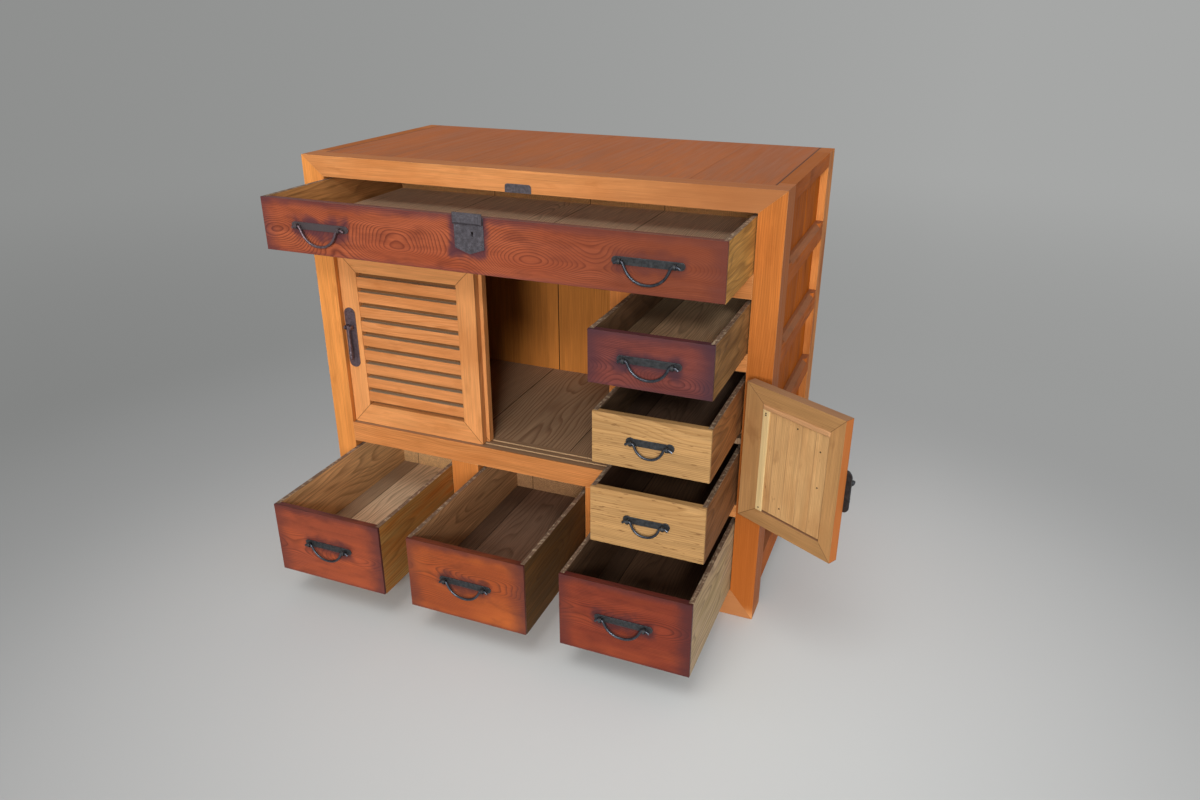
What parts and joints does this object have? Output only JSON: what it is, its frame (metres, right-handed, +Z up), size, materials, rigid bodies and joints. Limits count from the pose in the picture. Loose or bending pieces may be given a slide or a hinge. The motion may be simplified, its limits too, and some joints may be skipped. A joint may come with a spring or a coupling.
{
  "type": "isho clothing chest",
  "caption": "Low Japanese clothing chest of wood: a wide drawer, slatted sliding doors, a hinged door over inner drawers and deep lower drawers, with iron bail pulls.",
  "frame": {"origin": "middle of the front bottom rail's underside, on the floor", "axes": "+Z up, +X to the right along the front, the front faces -Y"},
  "size_m": [1.07, 0.731, 0.8],
  "materials": {
    "frame_wood": "worn oil finish",
    "top_wood": "worn oil finish",
    "inner_wood": "bare aged wood",
    "drawer_wood": "bare aged wood",
    "red_wood": "worn oil finish",
    "light_wood": "bare aged wood",
    "iron": "dark forged"
  },
  "bodies": {
    "case": {"front_stile_left": "frame_wood", "front_stile_right": "frame_wood", "front_rails": "frame_wood", "middle_rail": "frame_wood", "upper_rail": "frame_wood", "small_rail": "frame_wood", "front_posts": "frame_wood", "side_rails": "frame_wood", "side_boards": "frame_wood", "rear_frame": "inner_wood", "top_boards": "top_wood", "back_boards": "inner_wood", "dust_boards": "inner_wood", "column_partition": "inner_wood", "drawer_guides": "inner_wood", "strike_plate": "iron", "case_hinge_leaves": "iron"},
    "top_drawer": {"top_drawer_front": "red_wood", "top_drawer_box": "drawer_wood", "top_drawer_pull": "iron", "lock_plate": "iron", "lock_hood": "iron"},
    "top_drawer_bail": {"top_drawer_bail": "iron"},
    "top_drawer_bail_right": {"top_drawer_bail_right": "iron"},
    "red_drawer": {"red_drawer_front": "red_wood", "red_drawer_box": "drawer_wood", "red_drawer_pull": "iron"},
    "red_drawer_bail": {"red_drawer_bail": "iron"},
    "upper_light_drawer": {"upper_light_drawer_front": "light_wood", "upper_light_drawer_box": "drawer_wood", "upper_light_drawer_pull": "iron"},
    "upper_light_drawer_bail": {"upper_light_drawer_bail": "iron"},
    "lower_light_drawer": {"lower_light_drawer_front": "light_wood", "lower_light_drawer_box": "drawer_wood", "lower_light_drawer_pull": "iron"},
    "lower_light_drawer_bail": {"lower_light_drawer_bail": "iron"},
    "left_drawer": {"left_drawer_front": "red_wood", "left_drawer_box": "drawer_wood", "left_drawer_pull": "iron"},
    "left_drawer_bail": {"left_drawer_bail": "iron"},
    "centre_drawer": {"centre_drawer_front": "red_wood", "centre_drawer_box": "drawer_wood", "centre_drawer_pull": "iron"},
    "centre_drawer_bail": {"centre_drawer_bail": "iron"},
    "right_drawer": {"right_drawer_front": "red_wood", "right_drawer_box": "drawer_wood", "right_drawer_pull": "iron"},
    "right_drawer_bail": {"right_drawer_bail": "iron"},
    "front_sliding_door": {"front_sliding_door_frame": "frame_wood", "front_sliding_door_slats": "frame_wood", "front_sliding_door_pull": "iron"},
    "front_sliding_door_drop": {"front_sliding_door_drop": "iron"},
    "rear_sliding_door": {"rear_sliding_door_frame": "frame_wood", "rear_sliding_door_slats": "frame_wood", "rear_sliding_door_cup": "iron"},
    "hinged_door": {"hinged_door_frame": "frame_wood", "hinged_door_panel": "frame_wood", "hinged_door_pull": "iron", "door_hinge_leaves": "iron"},
    "hinged_door_drop": {"hinged_door_drop": "iron"}
  },
  "joints": [
    {"name": "top_drawer_slide", "type": "slide", "parent": "case", "child": "top_drawer", "axis": [0, -1, 0], "range_m": [-0.173, 0.158]},
    {"name": "top_drawer_bail_swing", "type": "hinge", "parent": "top_drawer", "child": "top_drawer_bail", "pos_m": [-0.291, -0.1985, 0.71439], "axis": [-1, 0, 0], "range_deg": [-4, 105]},
    {"name": "top_drawer_bail_right_swing", "type": "hinge", "parent": "top_drawer", "child": "top_drawer_bail_right", "pos_m": [0.291, -0.1985, 0.71439], "axis": [-1, 0, 0], "range_deg": [-4, 105]},
    {"name": "red_drawer_slide", "type": "slide", "parent": "case", "child": "red_drawer", "axis": [0, -1, 0], "range_m": [-0.213, 0.118]},
    {"name": "red_drawer_bail_swing", "type": "hinge", "parent": "red_drawer", "child": "red_drawer_bail", "pos_m": [0.31, -0.2385, 0.57574], "axis": [-1, 0, 0], "range_deg": [-4, 105]},
    {"name": "upper_light_drawer_slide", "type": "slide", "parent": "case", "child": "upper_light_drawer", "axis": [0, -1, 0], "range_m": [-0.229, 0.095]},
    {"name": "upper_light_drawer_bail_swing", "type": "hinge", "parent": "upper_light_drawer", "child": "upper_light_drawer_bail", "pos_m": [0.30925, -0.2215, 0.43186], "axis": [-1, 0, 0], "range_deg": [-4, 105]},
    {"name": "lower_light_drawer_slide", "type": "slide", "parent": "case", "child": "lower_light_drawer", "axis": [0, -1, 0], "range_m": [-0.237, 0.087]},
    {"name": "lower_light_drawer_bail_swing", "type": "hinge", "parent": "lower_light_drawer", "child": "lower_light_drawer_bail", "pos_m": [0.30925, -0.2295, 0.29422], "axis": [-1, 0, 0], "range_deg": [-4, 105]},
    {"name": "left_drawer_slide", "type": "slide", "parent": "case", "child": "left_drawer", "axis": [0, -1, 0], "range_m": [-0.259, 0.072]},
    {"name": "left_drawer_bail_swing", "type": "hinge", "parent": "left_drawer", "child": "left_drawer_bail", "pos_m": [-0.29333, -0.2845, 0.13242], "axis": [-1, 0, 0], "range_deg": [-4, 105]},
    {"name": "centre_drawer_slide", "type": "slide", "parent": "case", "child": "centre_drawer", "axis": [0, -1, 0], "range_m": [-0.265, 0.066]},
    {"name": "centre_drawer_bail_swing", "type": "hinge", "parent": "centre_drawer", "child": "centre_drawer_bail", "pos_m": [0, -0.2905, 0.13242], "axis": [-1, 0, 0], "range_deg": [-4, 105]},
    {"name": "right_drawer_slide", "type": "slide", "parent": "case", "child": "right_drawer", "axis": [0, -1, 0], "range_m": [-0.261, 0.07]},
    {"name": "right_drawer_bail_swing", "type": "hinge", "parent": "right_drawer", "child": "right_drawer_bail", "pos_m": [0.29333, -0.2865, 0.13242], "axis": [-1, 0, 0], "range_deg": [-4, 105]},
    {"name": "front_sliding_door_slide", "type": "slide", "parent": "case", "child": "front_sliding_door", "axis": [1, 0, 0], "range_m": [0, 0.272]},
    {"name": "rear_sliding_door_slide", "type": "slide", "parent": "case", "child": "rear_sliding_door", "axis": [1, 0, 0], "range_m": [-0.007, 0.265]},
    {"name": "front_sliding_door_drop_swing", "type": "hinge", "parent": "front_sliding_door", "child": "front_sliding_door_drop", "pos_m": [-0.394, -0.0195, 0.4663], "axis": [-1, 0, 0], "range_deg": [-2, 100]},
    {"name": "hinged_door_swing", "type": "hinge", "parent": "case", "child": "hinged_door", "pos_m": [0.421, -0.0245, 0.36812], "axis": [0, 0, 1], "range_deg": [-28, 24]},
    {"name": "hinged_door_drop_swing", "type": "hinge", "parent": "hinged_door", "child": "hinged_door_drop", "pos_m": [0.606, -0.12133, 0.38212], "axis": [0.8746, -0.4848, 0], "range_deg": [-2, 100]}
  ]
}
